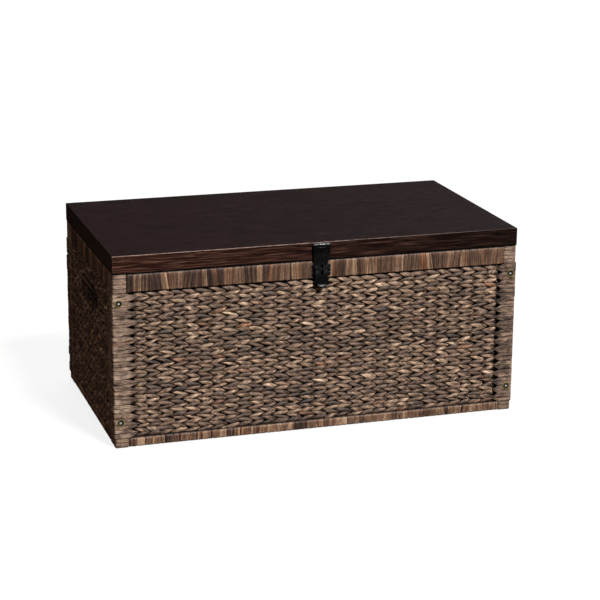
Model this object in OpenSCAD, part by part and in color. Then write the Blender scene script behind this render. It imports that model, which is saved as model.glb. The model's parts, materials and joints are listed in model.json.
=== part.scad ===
// Wicker storage trunk: four framed and twined panels bolted together at the corners,
// a veneered lid on two butt hinges, an iron hasp and two slotted lid stays.
// The origin is on the floor at the middle of the overall box. The front faces -Y.

/* [Case] */
// Width of the case and of the lid
case_w = 958.85; // [860:0.05:1060]
// Depth of the case and of the lid, without the metal fittings
case_d = 529; // [500:1:600]
// Overall height with the lid closed
total_h = 444.5; // [420:0.5:500]
// Thickness of the four panel frames
frame_t = 26; // [24:1:30]
// Width of the posts at the ends of the front and back panels
post_w = 32; // [30:1:40]
// Width of the posts at the ends of the side panels
side_post_w = 30; // [28:1:36]
// Height of the top rails
top_rail_h = 42; // [38:1:50]
// Height of the bottom rails
bottom_rail_h = 22; // [20:1:30]

/* [Weave] */
// Thickness of the twined panels
weave_t = 15; // [12:1:17]
// How far the weave lies behind the face of its frame
weave_recess = 2.5; // [1:0.5:4]
// Distance from one stake to the next
stake_pitch = 30; // [25:1:40]
// Radius of a stake
stake_r = 2.5; // [2:0.1:3]

/* [Hand slots] */
// Length of each hand slot, along the depth of the trunk
slot_len = 170; // [120:2:176]
// Height of each hand slot
slot_h = 42; // [36:1:50]
// Height of the middle of the hand slots above the floor
slot_z = 292; // [260:1:300]
// Corner radius of the hand slots
slot_corner_r = 14; // [8:1:18]

/* [Lid] */
// Height of the lid
lid_h = 41; // [36:0.5:44]
// Gap between the closed lid and the case
lid_gap = 1.5; // [1.4:0.1:2]
// Thickness of the strips round the edge of the lid
edge_t = 20; // [18:1:26]
// Thickness of the top veneer
veneer_t = 1; // [0.8:0.1:2]
// Thickness of the board under the veneer
top_board_t = 9; // [6:0.5:12]
// Thickness of the panel that closes the lid from below
underside_t = 5; // [4:0.5:6]
// Angle to which the lid opens
lid_open = 98; // [90:1:100]

/* [Hinges and hasp] */
// Distance of each hinge from the middle of the trunk
hinge_x = 300; // [200:5:340]
// Length of each hinge
hinge_len = 64; // [56:1:80]
// Distance of the hinge pins from the face of the case
pin_out = 4.5; // [4.4:0.05:4.6]
// Outer radius of the knuckles
knuckle_r = 4.05; // [4:0.01:4.1]
// Radius of the hinge pins
pin_r = 2; // [1.8:0.1:2.2]
// Width of the hasp at its hinge
hasp_w = 42; // [38:1:46]
// Height of the staple that the hasp drops over, above the floor
staple_z = 379; // [376:0.5:382]

/* [Lid stays] */
// Distance of both ends of a closed stay from the lid's hinge axis
stay_a = 150; // [140:1:160]
// Width of the arm
arm_w = 16; // [14:1:16]
// Thickness of the arm
arm_t = 2; // [1.5:0.1:2.2]

/* [Hidden] */
$fn = 48;
// Running clearance of a pin or a screw in its hole
fit = 0.05;
// Extra length of a cutting solid beyond the face it cuts
cut = 1;

IRON = [0.09, 0.09, 0.1];
BRASS = [0.8, 0.62, 0.25];
STEEL = [0.7, 0.7, 0.72];
LID_WOOD = [0.17, 0.1, 0.08];
LID_TOP = [0.14, 0.1, 0.1];
PLAIN_WOOD = [0.72, 0.58, 0.42];
WRAP = [0.58, 0.46, 0.35];
WEAVE = [0.5, 0.4, 0.32];
REED = [0.62, 0.5, 0.36];
FELT = [0.25, 0.24, 0.23];

// Heights of the case
body_h = total_h - lid_h - lid_gap;
lid_z = total_h - lid_h;
weave_h = body_h - top_rail_h - bottom_rail_h;

// Stakes
stake_y = weave_recess + weave_t / 2;
socket_depth = 6;

// Rods that stiffen the long edges of the hand slots
rod_r = 4;
rod_len = slot_len + 26;
rod_dz = slot_h / 2 + rod_r;

// Dowels between rails and posts
dowel_r = 4;
dowel_half = 22;
dowel_zs = [bottom_rail_h / 2, body_h - top_rail_h / 2];

// Corner bolts, with a cup ferrule under each head and an insert nut in each side post
bolt_x = case_w / 2 - frame_t / 2;
bolt_zs = [60, 337];
bolt_r = 3;
bolt_head_r = 6;
bolt_head_h = 6.2;
bolt_len = 48;
bolt_dome = 1;
bolt_key_r = 2.9;
bolt_key_depth = 3.5;
ferrule_r = 8.5;
ferrule_flange_t = 1;
ferrule_cup_r = 7.2;
ferrule_depth = 7;
ferrule_floor = 1.2;
nut_r = 5;
nut_len = 15;

// Countersunk screws
head_r = 3.2;
head_h = 1.6;
shank_r = 1.6;
screw_len = 15;
short_screw_len = 10;

// Base
base_z = 12;
base_t = 8;
base_gap = 1;
cleat_w = 14;
cleat_h = 10;
cleat_inset = 24;

// Hinges
leaf_t = 1.6;
leaf_h = 30;
knuckle_gap = 0.4;
tab_h = 4.6;
hinge_y = case_d / 2 + pin_out;
hinge_z = body_h + lid_gap / 2;
hinge_screw_dx = 22;
hinge_screw_dz = 19;
pin_cap_r = 3;
pin_cap_t = 1.2;

// Hasp
hasp_y = -(case_d / 2 + pin_out);
hasp_z = total_h - 5.5;
hasp_leaf_t = 1.2;
hasp_leaf_h = 33;
strap_t = 1.8;
strap_low = 3;
strap_out = pin_out + knuckle_r - strap_t;
tip_z = 336;
wire_r = 1.2;
staple_ring_r = 5.3;
staple_centre_out = 0.3;
staple_leg = 12;
keyhole_r = 3;
plate_t = 1;
plate_screw_dx = 15;

// Lid stays. The lid pivot and the case stud are at the same distance from the hinge axis,
// so the arm always turns through half the angle of the lid.
pivot_drop = 2;
stud_drop = 12;
arm_tilt = (pivot_drop + stud_drop) / 2;
pivot_y = hinge_y - stay_a * cos(pivot_drop);
pivot_z = hinge_z - stay_a * sin(pivot_drop);
stud_y = hinge_y - stay_a * cos(stud_drop);
stud_z = hinge_z - stay_a * sin(stud_drop);
closed_reach = 2 * stay_a * sin((stud_drop - pivot_drop) / 2);
open_reach = 2 * stay_a * sin((stud_drop - pivot_drop + lid_open) / 2);
stud_r = 3;
stud_clear = 0.3;
stud_head_r = 5.5;
stud_head_t = 1.6;
bracket_t = 2;
side_gap = 0.6;
arm_out_x = case_w / 2 - frame_t - bracket_t - side_gap;
arm_in_x = arm_out_x - arm_t;
ear_out_x = arm_in_x - side_gap;
rivet_r = 2.5;
rivet_head_r = 4.5;
rivet_head_t = 1.2;
lid_panel_z = lid_z + 2.5;

// ---- Places and sizes of the four panels -------------------------------------------------

function is_long(side) = side == "front" || side == "back";
function yaw(side) = side == "front" ? 0 : side == "back" ? 180 : side == "left" ? -90 : 90;
function face_out(side) = is_long(side) ? case_d / 2 : case_w / 2;
function panel_len(side) = is_long(side) ? case_w : case_d - 2 * frame_t;
function post_width(side) = is_long(side) ? post_w : side_post_w;
function clear_len(side) = panel_len(side) - 2 * post_width(side);

// The stakes are spread evenly about the middle, an odd number on the long panels and an
// even number on the short ones, so that no stake stands in the middle of a hand slot.
function stake_xs(side) =
    let (half = clear_len(side) / 2 - 12, first = is_long(side) ? 0 : 0.5)
    let (n = floor(half / stake_pitch - first))
    let (right = [for (i = [0 : n]) (i + first) * stake_pitch])
    concat([for (x = right) if (x > 0) -x], right);

// A child drawn with its outer face on y = 0 and its middle on x = 0 goes to its side
module on_side(side) {
    rotate([0, 0, yaw(side)])
        translate([0, -face_out(side), 0])
            children();
}

module along_x(length, r) {
    rotate([0, 90, 0])
        cylinder(h = length, r = r, center = true);
}

// ---- Screws ------------------------------------------------------------------------------

// A countersunk screw, or with a clearance its hole. The head is flush with z = 0
// and the point is towards +Z.
module screw(length, clear = 0) {
    cylinder(h = head_h, r1 = head_r + clear, r2 = shank_r + clear);
    cylinder(h = length + clear, r = shank_r + clear);
    if (clear > 0)
        translate([0, 0, -cut])
            cylinder(h = cut + 0.01, r = head_r + clear);
}

// Screws of the hinge leaves: up is 1 for the leaves on the lid and -1 for those on the case
module hinge_screw_set(up, clear = 0) {
    for (x = [-hinge_x, hinge_x], dx = [-hinge_screw_dx, 0, hinge_screw_dx])
        translate([x + dx, case_d / 2 + leaf_t, hinge_z + up * hinge_screw_dz])
            rotate([90, 0, 0])
                screw(screw_len, clear);
}

module staple_screw_set(clear = 0) {
    for (dx = [-plate_screw_dx, plate_screw_dx])
        translate([dx, -case_d / 2 - plate_t, staple_z + 8])
            rotate([-90, 0, 0])
                screw(screw_len, clear);
}

module hasp_screw_set(clear = 0) {
    for (dx = [-11, 11], dz = [-12, -26])
        translate([dx, -case_d / 2 - hasp_leaf_t, hasp_z + dz])
            rotate([-90, 0, 0])
                screw(screw_len, clear);
}

// Screws of the stay brackets on the inner faces of the side top rails
module stay_case_screw_set(clear = 0) {
    for (sx = [-1, 1], dy = [-14, 14])
        translate([sx * (case_w / 2 - frame_t - bracket_t), stud_y + dy, stud_z])
            rotate([0, sx * 90, 0])
                screw(screw_len, clear);
}

// Screws of the stay brackets under the lid
module stay_lid_screw_set(clear = 0) {
    for (sx = [-1, 1], dy = [-9, 9])
        translate([sx * (ear_out_x - 14), pivot_y + dy, lid_panel_z - bracket_t])
            screw(screw_len, clear);
}

module base_screw_set(clear = 0) {
    inset = frame_t + cleat_w / 2;
    xs = [for (i = [-2 : 2]) i * (case_w / 2 - 80) / 2];
    for (sy = [-1, 1], x = xs)
        translate([x, sy * (case_d / 2 - inset), base_z + base_t])
            rotate([180, 0, 0])
                screw(short_screw_len + base_t - 2, clear);
}

// ---- Panels ------------------------------------------------------------------------------

module dowel_set(side, clear = 0) {
    for (sx = [-1, 1], z = dowel_zs)
        on_side(side)
            translate([sx * clear_len(side) / 2, frame_t / 2, z])
                along_x(2 * (dowel_half + clear), dowel_r + clear);
}

// A rail between the posts, with a socket for the end of every stake
module rail(side, z, height, socket_z) {
    difference() {
        on_side(side)
            translate([-clear_len(side) / 2, 0, z])
                cube([clear_len(side), frame_t, height]);
        on_side(side)
            for (x = stake_xs(side))
                translate([x, stake_y, socket_z])
                    cylinder(h = socket_depth + cut, r = stake_r + fit);
        dowel_set(side, fit);
    }
}

module top_rail(side) {
    z = body_h - top_rail_h;
    rail(side, z, top_rail_h, z - cut);
}

module bottom_rail(side) {
    rail(side, 0, bottom_rail_h, bottom_rail_h - socket_depth);
}

// A post at one end of a panel: end is -1 or 1 along the panel
module post(side, end) {
    w = post_width(side);
    difference() {
        on_side(side)
            translate([end * (panel_len(side) - w) / 2 - w / 2, 0, 0])
                cube([w, frame_t, body_h]);
        dowel_set(side, fit);
        corner_bolt_holes();
    }
}

module slot_outline() {
    w = slot_len - 2 * slot_corner_r;
    h = slot_h - 2 * slot_corner_r;
    square([slot_len, h], center = true);
    square([w, slot_h], center = true);
    for (x = [-w / 2, w / 2], y = [-h / 2, h / 2])
        translate([x, y])
            circle(r = slot_corner_r);
}

module slot_rods(side, clear = 0) {
    on_side(side)
        for (dz = [-rod_dz, rod_dz])
            translate([0, stake_y, slot_z + dz])
                along_x(rod_len + 2 * clear, rod_r + clear);
}

// The twined sheet of a panel, with a bore for every stake and, on the sides, the hand slot
module weave(side) {
    color(WEAVE)
        difference() {
            on_side(side)
                translate([-clear_len(side) / 2, weave_recess, bottom_rail_h])
                    cube([clear_len(side), weave_t, weave_h]);
            on_side(side)
                for (x = stake_xs(side))
                    translate([x, stake_y, bottom_rail_h - cut])
                        cylinder(h = weave_h + 2 * cut, r = stake_r + fit);
            if (!is_long(side)) {
                on_side(side)
                    translate([0, weave_recess + weave_t + cut, slot_z])
                        rotate([90, 0, 0])
                            linear_extrude(weave_t + 2 * cut)
                                slot_outline();
                slot_rods(side, fit);
            }
        }
}

module stake(x, z, height) {
    translate([x, stake_y, z])
        cylinder(h = height, r = stake_r);
}

// The stakes reach from socket to socket, except that a hand slot interrupts them
module stakes(side) {
    z0 = bottom_rail_h - socket_depth;
    z1 = body_h - top_rail_h + socket_depth;
    low_end = slot_z - rod_dz - rod_r - fit;
    high_end = slot_z + rod_dz + rod_r + fit;
    color(REED)
        on_side(side)
            for (x = stake_xs(side))
                if (!is_long(side) && abs(x) < rod_len / 2) {
                    stake(x, z0, low_end - z0);
                    stake(x, high_end, z1 - high_end);
                } else {
                    stake(x, z0, z1 - z0);
                }
}

module frame_dowels() {
    color(PLAIN_WOOD)
        for (side = ["front", "back", "left", "right"])
            dowel_set(side);
}

// ---- Corner bolts ------------------------------------------------------------------------

// Puts a child at each of the eight bolts, with its face on y = 0 and the bolt along +Y
module at_bolts() {
    for (turn = [0, 180], x = [-bolt_x, bolt_x], z = bolt_zs)
        rotate([0, 0, turn])
            translate([x, -case_d / 2, z])
                children();
}

module along_y(y, length, r) {
    translate([0, y, 0])
        rotate([-90, 0, 0])
            cylinder(h = length, r = r);
}

module corner_bolt_holes() {
    seat = ferrule_depth - ferrule_floor;
    at_bolts() {
        along_y(-cut, ferrule_depth + cut + fit, ferrule_cup_r + fit);
        along_y(0, seat + bolt_len + cut, bolt_r + 0.3);
        along_y(frame_t - cut, nut_len + cut + fit, nut_r + fit);
    }
}

module corner_bolts() {
    seat = ferrule_depth - ferrule_floor;
    color(IRON)
        at_bolts()
            translate([0, seat, 0])
                rotate([90, 0, 0])
                    difference() {
                        union() {
                            translate([0, 0, -bolt_len])
                                cylinder(h = bolt_len, r = bolt_r);
                            cylinder(h = bolt_head_h - bolt_dome, r = bolt_head_r);
                            translate([0, 0, bolt_head_h - bolt_dome])
                                cylinder(h = bolt_dome, r1 = bolt_head_r,
                                         r2 = bolt_head_r - bolt_dome);
                        }
                        translate([0, 0, bolt_head_h - bolt_key_depth])
                            cylinder(h = bolt_key_depth + cut, r = bolt_key_r, $fn = 6);
                    }
}

module bolt_ferrules() {
    seat = ferrule_depth - ferrule_floor;
    color(BRASS)
        at_bolts()
            difference() {
                union() {
                    along_y(-ferrule_flange_t, ferrule_flange_t, ferrule_r);
                    along_y(0, ferrule_depth, ferrule_cup_r);
                }
                along_y(-ferrule_flange_t - cut, seat + ferrule_flange_t + cut,
                        bolt_head_r + 0.4);
                along_y(0, ferrule_depth + cut, bolt_r + 0.2);
            }
}

module insert_nuts() {
    color(BRASS)
        at_bolts()
            difference() {
                along_y(frame_t, nut_len, nut_r);
                along_y(frame_t - cut, nut_len + 2 * cut, bolt_r + fit);
            }
}

// ---- Base --------------------------------------------------------------------------------

module base_panel() {
    w = case_w - 2 * frame_t - 2 * base_gap;
    d = case_d - 2 * frame_t - 2 * base_gap;
    color(PLAIN_WOOD)
        difference() {
            translate([-w / 2, -d / 2, base_z])
                cube([w, d, base_t]);
            base_screw_set(fit);
        }
}

module base_cleats() {
    z = base_z - cleat_h;
    color(PLAIN_WOOD)
        difference() {
            for (side = ["front", "back", "left", "right"])
                on_side(side) {
                    margin = is_long(side) ? cleat_inset + frame_t : cleat_inset + cleat_w;
                    w = (is_long(side) ? case_w : case_d - 2 * frame_t) - 2 * margin;
                    translate([-w / 2, frame_t, z])
                        cube([w, cleat_w, cleat_h]);
                }
            base_screw_set(fit);
        }
}

// ---- Lid ---------------------------------------------------------------------------------

// A board of the lid between its edge strips
module lid_board(z, thickness) {
    translate([-case_w / 2 + edge_t, -case_d / 2 + edge_t, z])
        cube([case_w - 2 * edge_t, case_d - 2 * edge_t, thickness]);
}

// Cross-section of the veneer sheet, with its upper edges eased
module veneer_section(width) {
    ease = veneer_t / 2;
    polygon([
        [-width / 2, 0], [width / 2, 0], [width / 2, veneer_t - ease],
        [width / 2 - ease, veneer_t], [-width / 2 + ease, veneer_t], [-width / 2, veneer_t - ease]
    ]);
}

module lid_veneer() {
    color(LID_TOP)
        translate([0, 0, total_h - veneer_t])
            intersection() {
                translate([0, case_d / 2, 0])
                    rotate([90, 0, 0])
                        linear_extrude(case_d)
                            veneer_section(case_w);
                translate([-case_w / 2, 0, 0])
                    rotate([90, 0, 90])
                        linear_extrude(case_w)
                            veneer_section(case_d);
            }
}

module lid_long_edge(sy) {
    w = case_w - 2 * edge_t;
    translate([-w / 2, sy * (case_d - edge_t) / 2 - edge_t / 2, lid_z])
        cube([w, edge_t, lid_h - veneer_t]);
}

module lid_side_edge(sx) {
    color(LID_WOOD)
        translate([sx * (case_w - edge_t) / 2 - edge_t / 2, -case_d / 2, lid_z])
            cube([edge_t, case_d, lid_h - veneer_t]);
}

module lid_top_board() {
    color(PLAIN_WOOD)
        lid_board(total_h - veneer_t - top_board_t, top_board_t);
}

module lid_underside() {
    color(LID_TOP)
        difference() {
            lid_board(lid_panel_z, underside_t);
            stay_lid_screw_set(fit);
        }
}

// Four cross battens keep the top board and the underside apart
module lid_battens() {
    outer_w = 50;
    inner_w = 40;
    z = lid_panel_z + underside_t;
    h = total_h - veneer_t - top_board_t - z;
    d = case_d - 2 * edge_t;
    color(PLAIN_WOOD)
        difference() {
            for (sx = [-1, 1]) {
                translate([sx * (case_w / 2 - edge_t - outer_w / 2) - outer_w / 2, -d / 2, z])
                    cube([outer_w, d, h]);
                translate([sx * case_w * 0.15 - inner_w / 2, -d / 2, z])
                    cube([inner_w, d, h]);
            }
            stay_lid_screw_set(fit);
        }
}

// Felt pads under the corners of the lid
module lid_bumpers() {
    pad_r = 6;
    pad_t = lid_gap - 0.3;
    color(FELT)
        for (sx = [-1, 1], sy = [-1, 1])
            translate([sx * (case_w - edge_t) / 2, sy * (case_d - edge_t - 60) / 2, lid_z - pad_t])
                cylinder(h = pad_t, r = pad_r);
}

// ---- Hinges ------------------------------------------------------------------------------

// Knuckle i of n along a hinge of the given length, on the X axis
module knuckle(i, n, length) {
    seg = length / n;
    translate([(i + 0.5) * seg - length / 2, 0, 0])
        along_x(seg - knuckle_gap, knuckle_r);
}

// The tab that joins knuckle i to its leaf: the leaf lies at y = -pin_out, towards up * Z
module leaf_tab(i, n, length, thickness, up) {
    seg = length / n;
    translate([i * seg - length / 2 + knuckle_gap / 2, -pin_out, up > 0 ? 0 : -tab_h])
        cube([seg - knuckle_gap, thickness, tab_h]);
}

// One leaf of a butt hinge about the X axis, with knuckles at the given places
module butt_leaf(up, places) {
    n = 5;
    difference() {
        union() {
            translate([-hinge_len / 2, -pin_out, up > 0 ? tab_h : -leaf_h])
                cube([hinge_len, leaf_t, leaf_h - tab_h]);
            for (i = places) {
                knuckle(i, n, hinge_len);
                leaf_tab(i, n, hinge_len, leaf_t, up);
            }
        }
        along_x(hinge_len + 2 * cut, pin_r + fit);
    }
}

module at_hinges() {
    for (x = [-hinge_x, hinge_x])
        translate([x, hinge_y, hinge_z])
            children();
}

module hinge_case_leaves() {
    color(IRON)
        difference() {
            at_hinges()
                butt_leaf(-1, [0, 2, 4]);
            hinge_screw_set(-1, fit);
        }
}

module hinge_lid_leaves() {
    color(IRON)
        difference() {
            at_hinges()
                butt_leaf(1, [1, 3]);
            hinge_screw_set(1, fit);
        }
}

module hinge_pins() {
    color(IRON)
        at_hinges() {
            along_x(hinge_len, pin_r);
            for (sx = [-1, 1])
                translate([sx * (hinge_len + pin_cap_t) / 2, 0, 0])
                    along_x(pin_cap_t, pin_cap_r);
        }
}

// ---- Hasp --------------------------------------------------------------------------------

module hasp_leaf() {
    w = hasp_w - 4;
    color(IRON)
        difference() {
            translate([0, hasp_y, hasp_z])
                mirror([0, 1, 0])
                    difference() {
                        union() {
                            translate([-w / 2, -pin_out, -hasp_leaf_h])
                                cube([w, hasp_leaf_t, hasp_leaf_h - tab_h]);
                            knuckle(1, 3, hasp_w);
                            leaf_tab(1, 3, hasp_w, hasp_leaf_t, -1);
                        }
                        along_x(hasp_w + 2 * cut, pin_r + fit);
                    }
            hasp_screw_set(fit);
        }
}

module hasp_pin() {
    color(IRON)
        translate([0, hasp_y, hasp_z])
            along_x(hasp_w - knuckle_gap, pin_r);
}

// Side view of the strap: distance out from the case against height. It leaves the knuckles
// at the front, sits close to the case at the keyhole and curls out again at its tip.
module strap_section() {
    course = [
        [strap_out, hasp_z], [strap_out - 0.2, hasp_z - 6], [strap_low, hasp_z - 20],
        [strap_low, staple_z + 13], [strap_out, staple_z - 8], [strap_out, staple_z - 14],
        [strap_out - 1.4, tip_z + 13], [strap_out - 1.2, tip_z + 7], [strap_out, tip_z]
    ];
    n = len(course);
    back = [for (p = course) p];
    front = [for (i = [n - 1 : -1 : 0]) [course[i][0] + strap_t, course[i][1]]];
    polygon(concat(back, front));
}

// Front view of the strap: a plain upper part, a waist, two cusps a side and a rounded tip
module strap_outline() {
    half = hasp_w / 2;
    waist = half - 3.5;
    difference() {
        union() {
            translate([-half, staple_z + 20])
                square([hasp_w, hasp_z - staple_z - 20]);
            polygon([
                [-waist, staple_z + 21], [-waist, tip_z + 18], [-7, tip_z + 5],
                [7, tip_z + 5], [waist, tip_z + 18], [waist, staple_z + 21]
            ]);
            translate([0, tip_z + 7.5])
                circle(r = 7.5);
            for (sx = [-1, 1], z = [staple_z + 7, staple_z - 5])
                translate([sx * (waist - 1), z])
                    circle(r = 4);
            for (sx = [-1, 1])
                translate([sx * (waist - 3), tip_z + 19])
                    circle(r = 4);
        }
        for (sx = [-1, 1])
            translate([sx * (half + 3.5), staple_z + 17])
                circle(r = 8);
        translate([-keyhole_r, staple_z - 7])
            square([2 * keyhole_r, 17]);
        translate([0, staple_z - 7])
            circle(r = keyhole_r);
        translate([0, staple_z + 10])
            circle(r = keyhole_r + 1);
    }
}

module hasp_strap() {
    color(IRON)
        difference() {
            union() {
                intersection() {
                    translate([-hasp_w / 2, -case_d / 2, 0])
                        rotate([90, 0, 90])
                            linear_extrude(hasp_w)
                                mirror([1, 0])
                                    strap_section();
                    translate([0, -case_d / 2, 0])
                        rotate([90, 0, 0])
                            linear_extrude(pin_out + knuckle_r + cut)
                                strap_outline();
                }
                for (i = [0, 2])
                    translate([0, hasp_y, hasp_z])
                        knuckle(i, 3, hasp_w);
            }
            translate([0, hasp_y, hasp_z])
                along_x(hasp_w + 2 * cut, pin_r + fit);
            translate([-hasp_w / 6 - knuckle_gap / 2, hasp_y - knuckle_r - cut, hasp_z - tab_h])
                cube([hasp_w / 3 + knuckle_gap, 2 * (knuckle_r + cut), tab_h + knuckle_r + cut]);
            for (sx = [-1, 1])
                translate([sx * (hasp_w / 2), hasp_y, hasp_z])
                    along_x(knuckle_gap, knuckle_r + cut);
        }
}

// The plate under the strap, with scalloped ends
module staple_plate() {
    color(IRON)
        difference() {
            translate([0, -case_d / 2, staple_z])
                rotate([90, 0, 0])
                    linear_extrude(plate_t)
                        difference() {
                            union() {
                                square([hasp_w - 4, 26], center = true);
                                for (sx = [-1, 1], dz = [-9, 0, 9])
                                    translate([sx * (hasp_w / 2 - 2), dz])
                                        circle(r = 4);
                            }
                            for (dz = [-1, 1])
                                translate([0, dz * 17])
                                    circle(r = 8);
                        }
            staple_screw_set(fit);
            staple_wire(fit);
        }
}

// The staple is a half ring standing out of the case, with two legs driven into the rail
module staple_wire(clear = 0) {
    y = -case_d / 2 - staple_centre_out;
    translate([0, y, staple_z])
        rotate([0, 90, 0])
            rotate([0, 0, 180])
                rotate_extrude(angle = 180)
                    translate([staple_ring_r, 0])
                        circle(r = wire_r + clear);
    for (dz = [-staple_ring_r, staple_ring_r])
        translate([0, y, staple_z + dz])
            rotate([-90, 0, 0])
                cylinder(h = staple_leg + clear, r = wire_r + clear);
}

module hasp_staple() {
    color(IRON)
        staple_wire();
}

// ---- Lid stays ---------------------------------------------------------------------------

module capsule(length, r) {
    circle(r = r);
    translate([0, -length])
        circle(r = r);
    translate([-r, -length])
        square([2 * r, length]);
}

// A slotted arm, drawn flat with its pivot at the origin and its slot towards -Y
module arm_outline() {
    difference() {
        capsule(open_reach + 4, arm_w / 2);
        circle(r = rivet_r + fit);
        translate([0, -closed_reach + 0.4])
            capsule(open_reach - closed_reach + 0.8, stud_r + stud_clear);
    }
}

module stay_arm(sx) {
    color(STEEL)
        translate([sx > 0 ? arm_in_x : -arm_out_x, pivot_y, pivot_z])
            rotate([arm_tilt, 0, 0])
                rotate([90, 0, 90])
                    linear_extrude(arm_t)
                        arm_outline();
}

// Plate and headed stud on the inner face of each side top rail
module stay_case_brackets() {
    rail_x = case_w / 2 - frame_t;
    color(STEEL)
        difference() {
            for (sx = [-1, 1])
                translate([0, stud_y, stud_z]) {
                    translate([sx * (rail_x - bracket_t / 2), 0, 0])
                        cube([bracket_t, 40, 22], center = true);
                    translate([sx * (rail_x + ear_out_x) / 2, 0, 0])
                        along_x(rail_x - ear_out_x, stud_r);
                    translate([sx * (ear_out_x - stud_head_t / 2), 0, 0])
                        along_x(stud_head_t, stud_head_r);
                }
            stay_case_screw_set(fit);
        }
}

// Angle brackets under the lid, each with an ear for the arm's rivet
module stay_lid_brackets() {
    ear_r = 6.5;
    plate_w = 22;
    color(STEEL)
        difference() {
            for (sx = [-1, 1]) {
                translate([sx * (ear_out_x - plate_w / 2), pivot_y, lid_panel_z - bracket_t / 2])
                    cube([plate_w, 34, bracket_t], center = true);
                translate([sx * (ear_out_x - bracket_t / 2), pivot_y, pivot_z]) {
                    along_x(bracket_t, ear_r);
                    translate([-bracket_t / 2, -ear_r, 0])
                        cube([bracket_t, 2 * ear_r, lid_panel_z - pivot_z]);
                }
            }
            translate([0, pivot_y, pivot_z])
                along_x(case_w, rivet_r + fit);
            stay_lid_screw_set(fit);
        }
}

module stay_rivets() {
    inner = ear_out_x - bracket_t;
    outer = arm_out_x + 0.3;
    color(STEEL)
        for (sx = [-1, 1])
            translate([0, pivot_y, pivot_z]) {
                translate([sx * (inner + outer) / 2, 0, 0])
                    along_x(outer - inner, rivet_r);
                translate([sx * (inner - rivet_head_t / 2), 0, 0])
                    along_x(rivet_head_t, rivet_head_r);
                translate([sx * (outer + rivet_head_t / 2), 0, 0])
                    along_x(rivet_head_t, rivet_head_r);
            }
}

// ---- Nodes -------------------------------------------------------------------------------

module wrapped() {
    color(WRAP)
        children();
}

wrapped() difference() {  // front_top_rail
    top_rail("front");
    staple_screw_set(fit);
    staple_wire(fit);
}
wrapped() bottom_rail("front");  // front_bottom_rail
wrapped() post("front", -1);  // front_left_post
wrapped() post("front", 1);  // front_right_post
weave("front");  // front_weave
stakes("front");  // front_stakes
wrapped() difference() {  // back_top_rail
    top_rail("back");
    hinge_screw_set(-1, fit);
}
wrapped() bottom_rail("back");  // back_bottom_rail
wrapped() post("back", 1);  // back_left_post
wrapped() post("back", -1);  // back_right_post
weave("back");  // back_weave
stakes("back");  // back_stakes
wrapped() difference() {  // left_top_rail
    top_rail("left");
    stay_case_screw_set(fit);
}
wrapped() bottom_rail("left");  // left_bottom_rail
wrapped() post("left", 1);  // left_front_post
wrapped() post("left", -1);  // left_rear_post
weave("left");  // left_weave
stakes("left");  // left_stakes
color(REED) slot_rods("left");  // left_slot_rods
wrapped() difference() {  // right_top_rail
    top_rail("right");
    stay_case_screw_set(fit);
}
wrapped() bottom_rail("right");  // right_bottom_rail
wrapped() post("right", -1);  // right_front_post
wrapped() post("right", 1);  // right_rear_post
weave("right");  // right_weave
stakes("right");  // right_stakes
color(REED) slot_rods("right");  // right_slot_rods
frame_dowels();
base_panel();
base_cleats();
color(STEEL) base_screw_set();  // base_screws
corner_bolts();
bolt_ferrules();
insert_nuts();
hinge_case_leaves();
hinge_pins();
color(IRON) {  // case_screws
    hinge_screw_set(-1);
    staple_screw_set();
    stay_case_screw_set();
}
staple_plate();
hasp_staple();
stay_case_brackets();
lid_veneer();
lid_top_board();
color(LID_WOOD) difference() {  // lid_front_edge
    lid_long_edge(-1);
    hasp_screw_set(fit);
}
color(LID_WOOD) difference() {  // lid_back_edge
    lid_long_edge(1);
    hinge_screw_set(1, fit);
}
lid_side_edge(-1);  // lid_left_edge
lid_side_edge(1);  // lid_right_edge
lid_battens();
lid_underside();
lid_bumpers();
hinge_lid_leaves();
hasp_leaf();
hasp_pin();
color(IRON) {  // lid_screws
    hinge_screw_set(1);
    hasp_screw_set();
    stay_lid_screw_set();
}
stay_lid_brackets();
stay_rivets();
hasp_strap();
stay_arm(-1);  // left_stay_arm
stay_arm(1);  // right_stay_arm
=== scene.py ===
"""Looks of a wicker storage trunk: twined panels, wrapped frames, veneered lid and ironwork.

Every woven piece is built in the local frame of its panel: u runs along the panel, to the right
seen from outside, d is the depth behind the panel's outer face, and z is the height.
"""

import json
import math

import bmesh
import bpy
import numpy as np
from mathutils import Matrix, Vector


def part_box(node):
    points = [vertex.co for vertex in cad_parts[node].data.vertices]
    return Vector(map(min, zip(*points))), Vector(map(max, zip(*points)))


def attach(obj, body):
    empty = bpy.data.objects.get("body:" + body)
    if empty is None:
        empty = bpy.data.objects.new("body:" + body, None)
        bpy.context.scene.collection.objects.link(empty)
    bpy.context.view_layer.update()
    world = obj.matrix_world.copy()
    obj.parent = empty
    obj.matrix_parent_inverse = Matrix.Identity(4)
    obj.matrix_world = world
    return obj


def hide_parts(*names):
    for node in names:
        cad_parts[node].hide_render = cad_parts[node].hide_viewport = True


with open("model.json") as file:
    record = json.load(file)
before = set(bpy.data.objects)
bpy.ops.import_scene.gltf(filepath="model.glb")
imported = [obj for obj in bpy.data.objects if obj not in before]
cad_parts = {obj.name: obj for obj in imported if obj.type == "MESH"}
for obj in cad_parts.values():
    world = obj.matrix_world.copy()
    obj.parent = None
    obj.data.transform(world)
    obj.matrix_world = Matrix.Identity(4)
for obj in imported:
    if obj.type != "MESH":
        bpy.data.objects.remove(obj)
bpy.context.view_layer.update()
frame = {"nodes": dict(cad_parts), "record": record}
NODES = frame["nodes"]

MM = 0.001
PITCH = 30 * MM
ROW_COUNT = 34
SIDES = ("front", "back", "left", "right")
POST_ENDS = {
    "front": {"left": -1, "right": 1},
    "back": {"left": 1, "right": -1},
    "left": {"front": 1, "rear": -1},
    "right": {"front": -1, "rear": 1},
}
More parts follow.
